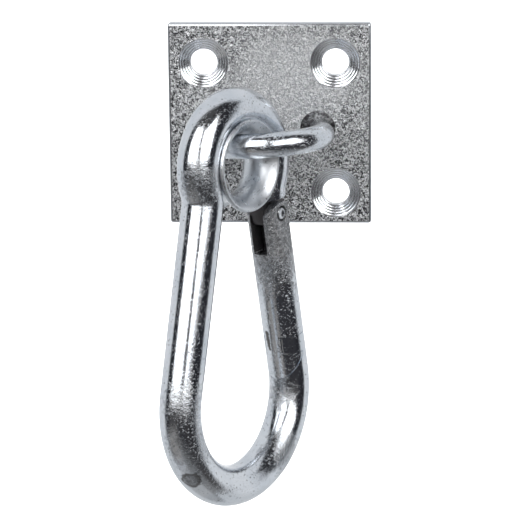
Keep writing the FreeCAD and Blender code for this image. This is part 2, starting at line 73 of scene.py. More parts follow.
BAR = 10.0
EYE_RADIUS = 13.485
BOWL_RADIUS = 21.173
BOWL_DROP = 56.947
LIMB_ANGLE = math.radians(11.22)
NECK_ROUND = 6.0
THIMBLE_WALL = 1.1
THIMBLE_GAP = 0.05
THIMBLE_WRAP = math.radians(59.0)

PIVOT_FROM_NECK = 6.3
SHOULDER_FROM_NECK = 2.3
SLOT_WIDTH = 4.0
SLOT_DEPTH = 9.4
SLOT_WEB = 1.3
TONGUE_THICK = 3.84
TONGUE_REACH = 3.0
CAM_RADIUS = 1.5
RIVET = 3.8
PIVOT_GAP = 0.05
CHEEK_HALF = 4.4
CHEEK_REACH = 7.0
GATE_ROUND = 5.0
GATE_ROUND_DROP = 2.2
LUG_TOP = 31.2
LUG_BOTTOM = 35.5
LUG_REACH = 4.25
CLAW_ROOT = -0.4
CLAW_STEP = 0.8
CLAW_GAP = 0.15
GATE_BORE = 4.0
GATE_BORE_DEPTH = 26.0
PLUNGER = 3.9
PLUNGER_LENGTH = 10.0
PLUNGER_CUP = 3.0
PLUNGER_CUP_DEPTH = 4.0
PLUNGER_GAP = 0.02
SPRING_WIRE = 0.5
SPRING_MEAN = 2.3
SPRING_TURNS = 11
SPRING_GAP = 0.05

# Widths of the small rounds on sharp edges.
PLATE_ROUND = 0.7
HOLE_ROUND = 0.12
HOOK_ROUND = 0.45
GATE_EDGE_ROUND = 0.4

# ---------------------------------------------------------------- frames, read from the joints

joints = {joint["name"]: joint for joint in frame["joints"]}


def axes(x, y, z, origin):
    """Frame with unit axes x, y, z and its origin in metres."""
    rows = [[x[i], y[i], z[i], origin[i]] for i in range(3)]
    return Matrix(rows + [[0.0, 0.0, 0.0, 1.0]])


through = Vector(joints["gate_hinge"]["axis"]).normalized()
up_limb = -Vector(joints["plunger_slide"]["axis"]).normalized()
LATCH = axes(through.cross(up_limb), through, up_limb, joints["gate_hinge"]["pos_m"])
hook_turn = LATCH.to_3x3() @ Matrix.Rotation(LIMB_ANGLE, 3, "Y")
HANG = Matrix.Translation(Vector(joints["hook_swing"]["pos_m"])) @ hook_turn.to_4x4()
bow_up = Vector(joints["round_the_bow"]["axis"]).normalized()
bow_right = Vector((0.0, -1.0, 0.0)).cross(bow_up).normalized() * -1.0
BOW = axes(bow_right, bow_up.cross(bow_right), bow_up, joints["round_the_bow"]["pos_m"])
WORLD = Matrix.Identity(4)

# Hook-plane points: x across, y up along the hook (the frame's Z).
limb_down = np.array([math.sin(LIMB_ANGLE), -math.cos(LIMB_ANGLE)])
limb_out = np.array([math.cos(LIMB_ANGLE), math.sin(LIMB_ANGLE)])
tangent_point = np.array([0.0, -BOWL_DROP]) + limb_out * BOWL_RADIUS
neck_off = tangent_point @ limb_out
neck_corner = limb_out * neck_off + limb_down * math.sqrt(EYE_RADIUS ** 2 - neck_off ** 2)
pivot = neck_corner + limb_down * PIVOT_FROM_NECK


def limb_point(inward, down):
    """Hook-plane point from distances off the pivot, inward and down the gate's limb."""
    return tuple(pivot - limb_out * inward + limb_down * down)


def gate_point(inward, down):
    """The same point in the gate's own frame."""
    return (-inward, -down)


# ---------------------------------------------------------------- mesh tools

def new_object(name, mesh):
    piece = bpy.data.objects.new(name, mesh)
    bpy.context.scene.collection.objects.link(piece)
    return piece


def mesh_from(name, vertices, faces, uvs=None):
    mesh = bpy.data.meshes.new(name)
    mesh.from_pydata([tuple(v) for v in vertices], [], faces)
    if uvs is not None:
        layer = mesh.uv_layers.new(name="along")
        for loop in mesh.loops:
            layer.data[loop.index].uv = uvs[loop.vertex_index]
    mesh.update()
    return mesh


def to_world(piece, place):
    """Turn a piece made in millimetres in one frame into metres in the object's frame."""
    piece.data.transform(place @ Matrix.Scale(MM, 4))
    piece.data.update()
    return piece


def shade(piece, angle=35.0):
    piece.data.polygons.foreach_set("use_smooth", [True] * len(piece.data.polygons))
    piece.data.set_sharp_from_angle(angle=math.radians(angle))
    return piece


def apply_modifiers(piece):
    graph = bpy.context.evaluated_depsgraph_get()
    mesh = bpy.data.meshes.new_from_object(piece.evaluated_get(graph))
    piece.modifiers.clear()
    old = piece.data
    piece.data = mesh
    bpy.data.meshes.remove(old)
    return piece


def boolean(piece, tool, operation):
    modifier = piece.modifiers.new("cut", "BOOLEAN")
    modifier.operation = operation
    modifier.solver = "EXACT"
    modifier.object = tool
    apply_modifiers(piece)
    bpy.data.objects.remove(tool)
    return piece


def soften(piece, width, angle=32.0, segments=2):
    """Small round on the sharp edges, as a tumbled and plated part has."""
    modifier = piece.modifiers.new("edges", "BEVEL")
    modifier.width = width
    modifier.segments = segments
    modifier.limit_method = "ANGLE"
    modifier.angle_limit = math.radians(angle)
    modifier.harden_normals = False
    return apply_modifiers(piece)


def sweep(name, path, radius, segments, side=None):
    """Round bar along a list of 3D points. side is a first direction across the path."""
    path = np.asarray(path, dtype=float)
    tangents = np.gradient(path, axis=0)
    tangents /= np.linalg.norm(tangents, axis=1)[:, None]
    if side is None:
        side = np.cross(tangents[0], [0.0, 0.0, 1.0])
    side = np.asarray(side, dtype=float)
    steps = np.linalg.norm(np.diff(path, axis=0), axis=1)
    lengths = np.concatenate([[0.0], np.cumsum(steps)])
    turn = np.linspace(0.0, 2 * math.pi, segments, endpoint=False)
    vertices, uvs = [], []
    for point, tangent, length in zip(path, tangents, lengths):
        side = side - tangent * (side @ tangent)
        side = side / np.linalg.norm(side)
        other = np.cross(tangent, side)
        for angle in turn:
            vertices.append(point + radius * (math.cos(angle) * side + math.sin(angle) * other))
            uvs.append((length, abs(angle - math.pi) * radius))
    faces = []
    for i in range(len(path) - 1):
        for j in range(segments):
            k = (j + 1) % segments
            faces.append((i * segments + j, i * segments + k,
                          (i + 1) * segments + k, (i + 1) * segments + j))
    last = (len(path) - 1) * segments
    faces.append(tuple(reversed(range(segments))))
    faces.append(tuple(range(last, last + segments)))
    mesh = mesh_from(name, vertices, faces, uvs)
    return fix_normals(new_object(name, mesh))


def fix_normals(piece):
    work = bmesh.new()
    work.from_mesh(piece.data)
    bmesh.ops.recalc_face_normals(work, faces=work.faces)
    work.to_mesh(piece.data)
    work.free()
    return piece


def prism(name, outline, low, high):
    """Solid between y = low and y = high over an outline of (x, z) points."""
    count = len(outline)
    vertices = [(x, y, z) for y in (low, high) for x, z in outline]
    faces = [tuple(range(count)), tuple(range(2 * count - 1, count - 1, -1))]
    for i in range(count):
        j = (i + 1) % count
        faces.append((i, i + count, j + count, j))
    return fix_normals(new_object(name, mesh_from(name, vertices, faces)))


def lathe(name, outline, segments=96):
    """Solid or ring turned about the Z axis from closed (radius, z) points."""
    vertices, uvs, rings = [], [], []
    for r, z in outline:
        if r < 1e-9:
            rings.append([len(vertices)] * segments)
            vertices.append((0.0, 0.0, z))
            uvs.append((z, 0.0))
            continue
        rings.append(list(range(len(vertices), len(vertices) + segments)))
        for j in range(segments):
            angle = 2 * math.pi * j / segments
            vertices.append((r * math.cos(angle), r * math.sin(angle), z))
            uvs.append((z, abs(angle - math.pi) * r))
    faces = []
    for a, b in zip(rings, rings[1:] + rings[:1]):
        if a[0] == a[1] and b[0] == b[1]:
            continue
        for j in range(segments):
            k = (j + 1) % segments
            face = []
            for index in (a[j], a[k], b[k], b[j]):
                if index not in face:
                    face.append(index)
            faces.append(tuple(face))
    return fix_normals(new_object(name, mesh_from(name, vertices, faces, uvs)))


def arc_points(centre, radius, start, end, count):
    """Points on a circle, angles in radians, ends included."""
    angles = np.linspace(start, end, count)
    return [(centre[0] + radius * math.cos(a), centre[1] + radius * math.sin(a)) for a in angles]


def upright(piece):
    """Turn a lathe made about Z so that its axis is Y."""
    piece.data.transform(Matrix.Rotation(math.radians(90.0), 4, "X"))
    return piece

# ---------------------------------------------------------------- the pieces

def make_plate():
    """Square plate with rounded edges, two staple holes and four countersunk holes."""
    half = PLATE_SIDE / 2
    plate = prism("plate_piece", [(-half, PLATE_RISE - half), (half, PLATE_RISE - half),
                                  (half, PLATE_RISE + half), (-half, PLATE_RISE + half)],
                  -PLATE_THICK, 0.0)
    soften(plate, PLATE_ROUND, angle=60.0, segments=5)
    spots = [(sx * SCREW_PITCH / 2, sz * SCREW_PITCH / 2) for sx in (-1, 1) for sz in (-1, 1)]
    slope = SINK_DEPTH / (SCREW_SINK - SCREW_HOLE) * 2
    over = 1.0
    for x, z in spots:
        cutter = lathe("cutter", [(0, -over), (SCREW_HOLE / 2, -over),
                                  (SCREW_HOLE / 2, PLATE_THICK - SINK_DEPTH),
                                  (SCREW_SINK / 2 + over, PLATE_THICK + over * slope),
                                  (0, PLATE_THICK + over * slope)])
        boolean(plate, place_tool(cutter, x, z), "DIFFERENCE")
    for side in (-1, 1):
        cutter = lathe("cutter", [(0, -over), (LEG_HOLE / 2, -over),
                                  (LEG_HOLE / 2, PLATE_THICK + over), (0, PLATE_THICK + over)])
        boolean(plate, place_tool(cutter, side * LEG_HOLE_PITCH / 2, 0.0), "DIFFERENCE")
    soften(plate, HOLE_ROUND, angle=40.0)
    return shade(to_world(plate, WORLD), 30.0)


def place_tool(tool, x, z):
    """Lathe made from the plate's back face forwards, at x, z on the plate."""
    upright(tool)
    tool.data.transform(Matrix.Translation((x, 0.0, z)))
    return tool


def bow_point(angle):
    """Point on the bow's centreline in world millimetres, angle from the apex, left positive."""
    local = Vector((-math.sin(angle), -math.cos(angle), 0.0)) * BOW_RADIUS * MM
    return np.array(BOW @ local) / MM


def hermite(p0, p1, m0, m1, count):
    """Cubic curve from p0 to p1 that leaves along m0 and arrives along m1."""
    t = np.linspace(0.0, 1.0, count)[:, None]
    return ((2 * t ** 3 - 3 * t ** 2 + 1) * p0 + (t ** 3 - 2 * t ** 2 + t) * m0
            + (-2 * t ** 3 + 3 * t ** 2) * p1 + (t ** 3 - t ** 2) * m1)


def make_staple():
    """U of round bar: tilted half-circle bow and two legs that bend into the plate."""
    span = math.radians(88.0)
    bow = np.array([bow_point(a) for a in np.linspace(span, -span, 90)])
    legs = []
    for side in (-1, 1):
        start = bow[0] if side < 0 else bow[-1]
        heading = (bow[0] - bow[1]) if side < 0 else (bow[-1] - bow[-2])
        heading = heading / np.linalg.norm(heading)
        foot = np.array([side * LEG_PITCH / 2, -PLATE_THICK, -LEG_SAG])
        length = np.linalg.norm(foot - start)
        legs.append(hermite(start, foot, heading * length, np.array([0.0, 1.0, 0.0]) * length, 30))
    end = np.array([0.0, PLATE_THICK - LEG_RECESS, 0.0])
    path = np.concatenate([[legs[0][-1] + end], legs[0][::-1], bow[1:-1], legs[1],
                           [legs[1][-1] + end]])
    return shade(to_world(sweep("staple_piece", path, STAPLE_BAR / 2, 72), WORLD))


def make_welds():
    """Plug welds in the back of the leg holes: shallow crowned beads with ripples."""
    piece = None
    for side in (-1, 1):
        rings = 14
        edge = LEG_HOLE / 2 - 0.01
        outline = [(0.0, WELD_DEPTH), (edge, WELD_DEPTH)]
        for i in range(rings + 1):
            share = 1.0 - i / rings
            sink_in = 0.28 + 0.06 * math.cos(share * 11.0)
            outline.append((edge * share, 0.02 + sink_in * (1 - share ** 3 * 0.8)))
        bead = lathe("weld_bead", outline, 72)
        place_tool(bead, side * LEG_HOLE_PITCH / 2, 0.0)
        if piece is None:
            piece = bead
        else:
            piece = join(piece, bead)
    piece.name = "weld_beads_piece"
    return shade(to_world(piece, WORLD), 40.0)


def join(first, second):
    work = bmesh.new()
    work.from_mesh(first.data)
    work.from_mesh(second.data)
    work.to_mesh(first.data)
    work.free()
    bpy.data.objects.remove(second)
    return first


def hook_path():
    """Centreline of the bar from the gate's shoulder over the eye, down the far limb, round the
    bowl and up to the claw, as (x, z) points of the hook's plane."""
    reach = EYE_RADIUS + NECK_ROUND
    off = neck_off + NECK_ROUND
    bend = limb_out * off + limb_down * math.sqrt(reach ** 2 - off ** 2)
    on_eye = bend * EYE_RADIUS / reach
    on_limb = bend - limb_out * NECK_ROUND
    eye_angle = math.atan2(on_eye[1], on_eye[0])
    bend_eye = math.atan2(-bend[1], -bend[0])
    bend_limb = math.pi + LIMB_ANGLE
    shoulder = np.array(limb_point(0, SHOULDER_FROM_NECK - PIVOT_FROM_NECK))
    if bend_eye < 0:
        bend_eye += 2 * math.pi
    near_bend = arc_points(bend, NECK_ROUND, bend_limb, bend_eye, 12)
    far_bend = [(-x, z) for x, z in reversed(near_bend)]
    eye = arc_points((0, 0), EYE_RADIUS, eye_angle, math.pi - eye_angle, 120)
    bowl = arc_points((0, -BOWL_DROP), BOWL_RADIUS, math.pi - LIMB_ANGLE,
                      2 * math.pi + LIMB_ANGLE, 120)
    far_limb = [tuple(p) for p in np.linspace((-on_limb[0], on_limb[1]),
                                              (-tangent_point[0], tangent_point[1]), 60)]
    claw_end = np.array(limb_point(0, LUG_TOP - 1.6))
    near_limb = [tuple(p) for p in np.linspace(tangent_point, claw_end, 16)]
    return ([tuple(shoulder)] + near_bend[:-1] + eye + far_bend[1:-1] + far_limb[:-1]
            + bowl + near_limb[1:])


def tongue_outline():
    """The gate's tongue in the hook's plane, with the cam that pushes the plunger."""
    half = BAR / 2 - 0.8
    hidden = PIVOT_FROM_NECK - SHOULDER_FROM_NECK + 1.0
    outline = [(-half, -hidden), (-half, -2.2), (-3.3, 0.3), (-2.0, TONGUE_REACH)]
    for turn in np.radians(np.linspace(0.0, 44.0, 16)):
        push = TONGUE_REACH + CAM_RADIUS * turn
        outline.append((CAM_RADIUS * math.cos(turn) + push * math.sin(turn),
                        push * math.cos(turn) - CAM_RADIUS * math.sin(turn)))
    outline += [(half, 0.9), (half, -hidden)]
    return [limb_point(*mark) for mark in outline]


def on_radius(radius, inward):
    """Distance down the limb of the point on a circle about the pivot."""
    return math.sqrt(radius ** 2 - inward ** 2)


def claw_outline(place, gap, outer, inner, beyond):
    """Space on the far side of the claw's joint line, for the nose (gap 0) or the gate."""
    slope = math.tan(math.radians(45.0))
    top, bottom = LUG_TOP - gap, LUG_BOTTOM + gap
    tip, root = LUG_REACH + gap, CLAW_ROOT + gap
    slant = LUG_BOTTOM + CLAW_GAP + CLAW_STEP + (CLAW_GAP - gap) * (math.sqrt(2.0) - slope)
    marks = [(q, on_radius(top, q)) for q in np.linspace(outer, tip, 14)]
    marks += [(q, on_radius(bottom, q)) for q in np.linspace(tip, root, 8)]
    marks += [(root, slant), (inner, slant + (inner - root) * slope), (inner, beyond),
              (outer, beyond)]
    return [place(*mark) for mark in marks]


def make_hook_body():
    """Bar bent to a pear shape, its tongue for the gate and its claw nose."""
    path = [(x, 0.0, z) for x, z in hook_path()]
    hook = sweep("hook_body_piece", path, BAR / 2, 72, side=(0.0, 1.0, 0.0))
    half = TONGUE_THICK / 2
    boolean(hook, prism("tool", tongue_outline(), -half, half), "UNION")
    outline = claw_outline(limb_point, 0.0, -BAR / 2 - 1, BAR / 2 + 1, LUG_TOP - 3)
    boolean(hook, prism("tool", outline, -BAR, BAR), "DIFFERENCE")
    bore = upright(lathe("tool", [(0, -BAR), (RIVET / 2 + PIVOT_GAP, -BAR),
                                  (RIVET / 2 + PIVOT_GAP, BAR), (0, BAR)], 48))
    bore.data.transform(Matrix.Translation((pivot[0], 0.0, pivot[1])))
    boolean(hook, bore, "DIFFERENCE")
    soften(hook, HOOK_ROUND, segments=3)
    return shade(to_world(hook, HANG))


def make_thimble():
    """C-section ring with rolled rims, hugging the inside of the eye."""
    inner = BAR / 2 + THIMBLE_GAP
    outer = inner + THIMBLE_WALL
    rim = (outer - inner) / 2
    section = []
    for a in np.linspace(-THIMBLE_WRAP, THIMBLE_WRAP, 40):
        section.append((EYE_RADIUS - outer * math.cos(a), outer * math.sin(a)))
    middle = inner + rim
    for a in np.linspace(0.0, math.pi, 9)[1:-1]:
        turn = THIMBLE_WRAP + math.sin(a) * rim / middle * 0.9
        r = middle + rim * math.cos(a)
        section.append((EYE_RADIUS - r * math.cos(turn), r * math.sin(turn)))
    for a in np.linspace(THIMBLE_WRAP, -THIMBLE_WRAP, 40):
        section.append((EYE_RADIUS - inner * math.cos(a), inner * math.sin(a)))
    for a in np.linspace(math.pi, 0.0, 9)[1:-1]:
        turn = THIMBLE_WRAP + math.sin(a) * rim / middle * 0.9
        r = middle + rim * math.cos(a)
        section.append((EYE_RADIUS - r * math.cos(turn), -r * math.sin(turn)))
    return shade(to_world(upright(lathe("thimble_piece", section, 144)), HANG), 50.0)


def make_gate():
    """Round bar latch: rounded fork at the top, claw and slanted end at the bottom."""
    low = LUG_BOTTOM + 10
    top = GATE_ROUND - GATE_ROUND_DROP
    wide = GATE_ROUND + 2
    path = [(0.0, 0.0, z) for z in np.linspace(top, -low, 90)]
    gate = sweep("gate_piece", path, BAR / 2, 96, side=(0.0, 1.0, 0.0))
    nose = arc_points((0.0, -GATE_ROUND_DROP), GATE_ROUND, math.pi, 0.0, 28)
    outline = nose + [(wide, -GATE_ROUND_DROP), (wide, wide), (-wide, wide),
                      (-wide, -GATE_ROUND_DROP)]
    boolean(gate, prism("tool", outline, -BAR, BAR), "DIFFERENCE")
    web, shelf, floor = BAR / 2 - SLOT_WEB, 0.4, SLOT_DEPTH
    corner = 0.9
    slot = [(-wide, -floor), (web - corner, -floor)]
    slot += arc_points((web - corner, -floor + corner), corner, -math.pi / 2, 0.0, 6)[1:]
    slot += [(web, -shelf), (wide, -shelf), (wide, wide), (-wide, wide)]
    half = SLOT_WIDTH / 2
    boolean(gate, prism("tool", slot, -half, half), "DIFFERENCE")
    for side in (-1, 1):
        flat = [(side * CHEEK_HALF, wide), (side * CHEEK_HALF, 3.0 - CHEEK_REACH),
                (side * (BAR / 2 + 0.05), -CHEEK_REACH - 5.0), (side * wide, -CHEEK_REACH - 5.0),
                (side * wide, wide)]
        cheek = prism("tool", flat, -wide, wide)
        cheek.data.transform(Matrix.Rotation(math.radians(90.0), 4, "Z"))
        boolean(gate, cheek, "DIFFERENCE")
    outline = claw_outline(gate_point, CLAW_GAP, -BAR / 2 - 1, BAR / 2 + 1, low + 2)
    boolean(gate, prism("tool", outline, -BAR, BAR), "DIFFERENCE")
    hole = upright(lathe("tool", [(0, -BAR), (RIVET / 2, -BAR), (RIVET / 2, BAR), (0, BAR)], 48))
    boolean(gate, hole, "DIFFERENCE")
    bore = lathe("tool", [(0, -GATE_BORE_DEPTH), (GATE_BORE / 2, -GATE_BORE_DEPTH),
                          (GATE_BORE / 2, -SLOT_DEPTH + 1.0), (0, -SLOT_DEPTH + 1.0)], 64)
    boolean(gate, bore, "DIFFERENCE")
    soften(gate, GATE_EDGE_ROUND)
    return shade(to_world(gate, LATCH))


def make_rivet():
    """Peened rivet: low crowned heads with a shallow punch dimple."""
    head = RIVET / 2
    end = CHEEK_HALF
    outline = [(0.0, end - 0.30), (0.45, end - 0.27), (0.8, end - 0.12), (1.1, end - 0.03),
               (1.35, end - 0.08), (1.48, end - 0.25), (1.52, end - 0.7), (head - 0.02, end - 0.8)]
    outline += [(r, -z) for r, z in reversed(outline)]
    return shade(to_world(upright(lathe("rivet_piece", outline, 64)), LATCH), 50.0)


def make_plunger():
    """Pin with a chamfered top, and a cup below for the spring."""
    top = -TONGUE_REACH - PLUNGER_GAP
    low = top - PLUNGER_LENGTH
    floor = low + PLUNGER_CUP_DEPTH
    edge = 0.3
    outline = [(0, top), (PLUNGER / 2 - edge, top), (PLUNGER / 2, top - edge), (PLUNGER / 2, low),
               (PLUNGER_CUP / 2, low), (PLUNGER_CUP / 2, floor), (0, floor)]
    return shade(to_world(lathe("plunger_piece", outline, 64), LATCH))


CUP_FLOOR = TONGUE_REACH + PLUNGER_GAP + PLUNGER_LENGTH - PLUNGER_CUP_DEPTH


def make_spring():
    """Compression spring, an even coil between the plunger's cup and the bore's floor."""
    top = -CUP_FLOOR - SPRING_GAP - SPRING_WIRE / 2
    low = -GATE_BORE_DEPTH + SPRING_GAP + SPRING_WIRE / 2
    t = np.linspace(0.0, 1.0, SPRING_TURNS * 28)
    turn = 2 * math.pi * SPRING_TURNS * t
    path = np.stack([SPRING_MEAN / 2 * np.cos(turn), SPRING_MEAN / 2 * np.sin(turn),
                     low + (top - low) * t], axis=1)
    return shade(to_world(sweep("spring_piece", path, SPRING_WIRE / 2, 14, side=(0, 0, 1)), LATCH))

# ---------------------------------------------------------------- materials

class Graph:
    """Small helper around one node tree."""

    def __init__(self, tree):
        self.tree = tree

    def add(self, kind):
        return self.tree.nodes.new(kind)

    def link(self, source, target):
        self.tree.links.new(source, target)

    def feed(self, socket, value):
        if isinstance(value, tuple) and socket.type == "RGBA":
            socket.default_value = (*value, 1.0)
        elif isinstance(value, (int, float, tuple)):
            socket.default_value = value
        else:
            self.link(value, socket)

    def math(self, operation, first, second=0.0):
        node = self.add("ShaderNodeMath")
        node.operation = operation
        self.feed(node.inputs[0], first)
        self.feed(node.inputs[1], second)
        return node.outputs[0]

    def vector(self, operation, first, second):
        node = self.add("ShaderNodeVectorMath")
        node.operation = operation
        self.feed(node.inputs[0], first)
        self.feed(node.inputs[1], second)
        return node.outputs["Value" if operation in ("DISTANCE", "DOT_PRODUCT") else "Vector"]

    def remap(self, value, low, high, out_low=0.0, out_high=1.0, smooth=False):
        node = self.add("ShaderNodeMapRange")
        node.interpolation_type = "SMOOTHSTEP" if smooth else "LINEAR"
        for name, number in (("From Min", low), ("From Max", high), ("To Min", out_low),
                             ("To Max", out_high)):
            node.inputs[name].default_value = number
        self.link(value, node.inputs["Value"])
        return node.outputs["Result"]

    def band(self, value, low, high, soft):
        """1 between low and high, 0 outside, with edges that are soft wide."""
        rise = self.remap(value, low - soft, low + soft, smooth=True)
        fall = self.remap(value, high - soft, high + soft, 1.0, 0.0, smooth=True)
        return self.math("MULTIPLY", rise, fall)

    def blend(self, factor, first, second):
        node = self.add("ShaderNodeMix")
        node.data_type = "RGBA"
        colours = [socket for socket in node.inputs if socket.type == "RGBA"]
        self.feed(colours[0], first)
        self.feed(colours[1], second)
        self.feed(node.inputs[0], factor)
        return [socket for socket in node.outputs if socket.type == "RGBA"][0]


class Surface(Graph):
    """One material; coordinates are in millimetres, on the piece as it stands at rest."""

    def __init__(self, name, metal=True):
        self.material = bpy.data.materials.new(name)
        self.material.use_nodes = True
        super().__init__(self.material.node_tree)
        self.shader = self.tree.nodes["Principled BSDF"]
        self.shader.inputs["Metallic"].default_value = 1.0 if metal else 0.0
        place = self.add("ShaderNodeTexCoord")
        scale = self.add("ShaderNodeMapping")
        scale.inputs["Scale"].default_value = (TO_MM, TO_MM, TO_MM)
        self.link(place.outputs["Object"], scale.inputs["Vector"])
        self.position = scale.outputs["Vector"]
        self.bumps = None

    def along(self, length_scale, round_scale):
        """Coordinates stretched along a bar, from its unwrapped length and girth."""
        uv = self.add("ShaderNodeUVMap")
        uv.uv_map = "along"
        scale = self.add("ShaderNodeMapping")
        scale.inputs["Scale"].default_value = (length_scale, round_scale, 1.0)
        self.link(uv.outputs["UV"], scale.inputs["Vector"])
        return scale.outputs["Vector"]

    def noise(self, scale, detail=4.0, rough=0.55, distortion=0.0, vector=None):
        node = self.add("ShaderNodeTexNoise")
        node.inputs["Scale"].default_value = scale
        node.inputs["Detail"].default_value = detail
        node.inputs["Roughness"].default_value = rough
        node.inputs["Distortion"].default_value = distortion
        self.link(vector or self.position, node.inputs["Vector"])
        return node.outputs["Fac"]

    def cells(self, scale):
        """Distance to the nearest of scattered points."""
        node = self.add("ShaderNodeTexVoronoi")
        node.inputs["Scale"].default_value = scale
        self.link(self.position, node.inputs["Vector"])
        return node.outputs["Distance"]

    def near(self, point_mm, radius, soft):
        """1 inside a ball round a point, 0 outside it."""
        away = self.vector("DISTANCE", self.position, tuple(point_mm))
        ragged = self.math("ADD", away, self.remap(self.noise(0.9, 4.0), 0.3, 0.7, -soft, soft))
        return self.remap(ragged, radius - soft, radius + soft, 1.0, 0.0, smooth=True)

    def both(self, first, second):
        return self.math("MULTIPLY", first, second)

    def either(self, first, second):
        return self.math("MAXIMUM", first, second)

    def bump(self, height, distance_mm, strength=1.0):
        node = self.add("ShaderNodeBump")
        self.feed(node.inputs["Strength"], strength)
        node.inputs["Distance"].default_value = distance_mm * MM
        self.link(height, node.inputs["Height"])
        if self.bumps is not None:
            self.link(self.bumps, node.inputs["Normal"])
        self.bumps = node.outputs["Normal"]
        self.link(self.bumps, self.shader.inputs["Normal"])

    def colour(self, socket):
        self.link(socket, self.shader.inputs["Base Color"])

    def roughness(self, socket):
        self.link(socket, self.shader.inputs["Roughness"])


BRIGHT = (0.86, 0.88, 0.91)
COOL = (0.70, 0.74, 0.79)
# Grey of rubbed zinc, also used as painted shade on the countersinks' rings, the weld's face and the
# rivet's groove.
DULL_AND_SHADE = (0.40, 0.40, 0.40)
# Dark grey of real pits and stains, also used as painted shade on the plate's staple hole walls.
SMUT_AND_SHADE = (0.14, 0.135, 0.13)
# Near-black painted shade, for the gate's slot, the weld's face and the rivet's groove.
SHADE_BLACK = (0.10, 0.096, 0.098)
PIVOT_MM = LATCH.translation * TO_MM


def slot_shade_mask(n):
    """The faces of the tongue and of the gate's slot, close to mid-plane and above the slot's floor:
    where painted shade goes.
    """
    offset = n.vector("SUBTRACT", n.position, tuple(PIVOT_MM))
    across = n.math("ABSOLUTE", n.vector("DOT_PRODUCT", offset, tuple(through)))
    thin = n.remap(across, SLOT_WIDTH / 2 + 0.02, SLOT_WIDTH / 2 + 0.06, 1.0, 0.0)
    down = n.vector("DOT_PRODUCT", offset, tuple(-up_limb))
    above = n.remap(down, SLOT_DEPTH - 0.35, SLOT_DEPTH - 0.1, 1.0, 0.0)
    close = n.remap(n.vector("DISTANCE", n.position, tuple(PIVOT_MM)), 12.0, 12.5, 1.0, 0.0)
    return n.both(n.both(thin, above), n.both(close, n.remap(down, -6.0, -4.0)))


def claw_mask(n):
    """The milled faces of the claw, which lie inside the bar's round; they are painted duller,
    partly as painted shade in the claw's notch.
    """
    offset = n.vector("SUBTRACT", n.position, tuple(PIVOT_MM))
    down = n.vector("DOT_PRODUCT", offset, tuple(-up_limb))
    squares = n.math("SUBTRACT", n.vector("DOT_PRODUCT", offset, offset), n.both(down, down))
    inside = n.remap(n.math("SQRT", squares), BAR / 2 - 0.4, BAR / 2 - 0.2, 1.0, 0.0)
    return n.both(inside, n.band(down, LUG_TOP - 2.0, LUG_BOTTOM + 9.0, 0.5))


